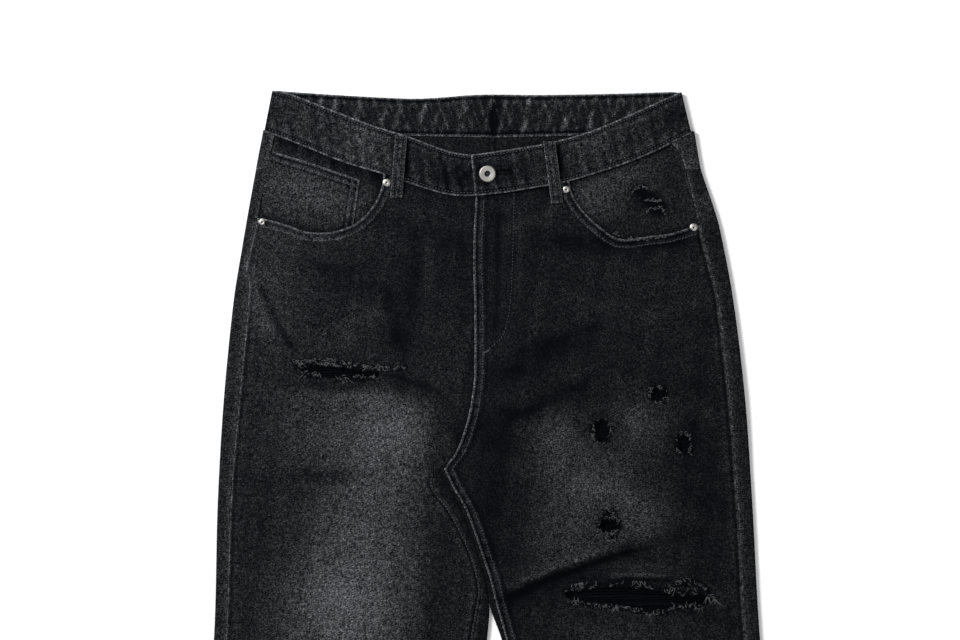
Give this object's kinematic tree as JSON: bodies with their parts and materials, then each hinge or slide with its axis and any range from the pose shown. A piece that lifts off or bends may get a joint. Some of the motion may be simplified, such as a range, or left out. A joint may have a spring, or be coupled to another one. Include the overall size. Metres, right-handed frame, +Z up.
{
  "type": "ripped jeans",
  "caption": "Washed-black ripped jeans laid flat face up, with five pockets, belt loops, fly, shank button, rivets, frayed rips and small holes.",
  "frame": {"origin": "centre of the bounding box at its bottom, on the surface the jeans lie on", "axes": "+X to the right of the jeans as seen from above (the wearer's left), +Y towards the waist, +Z up from the surface"},
  "size_m": [0.66, 1.1012, 0.0122],
  "materials": {
    "denim": "washed black cotton twill, matt, with worn grey thighs, edges and frayed rips",
    "band_denim": "washed black cotton twill in several layers, with worn grey edges and lockstitch rows",
    "zip_tape": "plain black woven tape, hidden under the fly",
    "nickel": "satin nickel-plated brass shank button and domed rivets"
  },
  "bodies": {
    "root": {"front_left": "denim", "front_right": "denim", "back_left": "denim", "back_right": "denim", "yoke_left": "denim", "yoke_right": "denim", "facing_left": "denim", "facing_right": "denim", "coin_pocket": "denim", "back_pocket_left": "denim", "back_pocket_right": "denim", "waistband_left": "band_denim", "waistband_right": "band_denim", "fly_shield": "denim", "zip": "zip_tape", "button": "nickel", "belt_loop_1": "band_denim", "belt_loop_2": "band_denim", "belt_loop_3": "band_denim", "belt_loop_4": "band_denim", "belt_loop_5": "band_denim", "rivet_1": "nickel", "rivet_2": "nickel", "rivet_3": "nickel", "rivet_4": "nickel"}
  },
  "joints": []
}
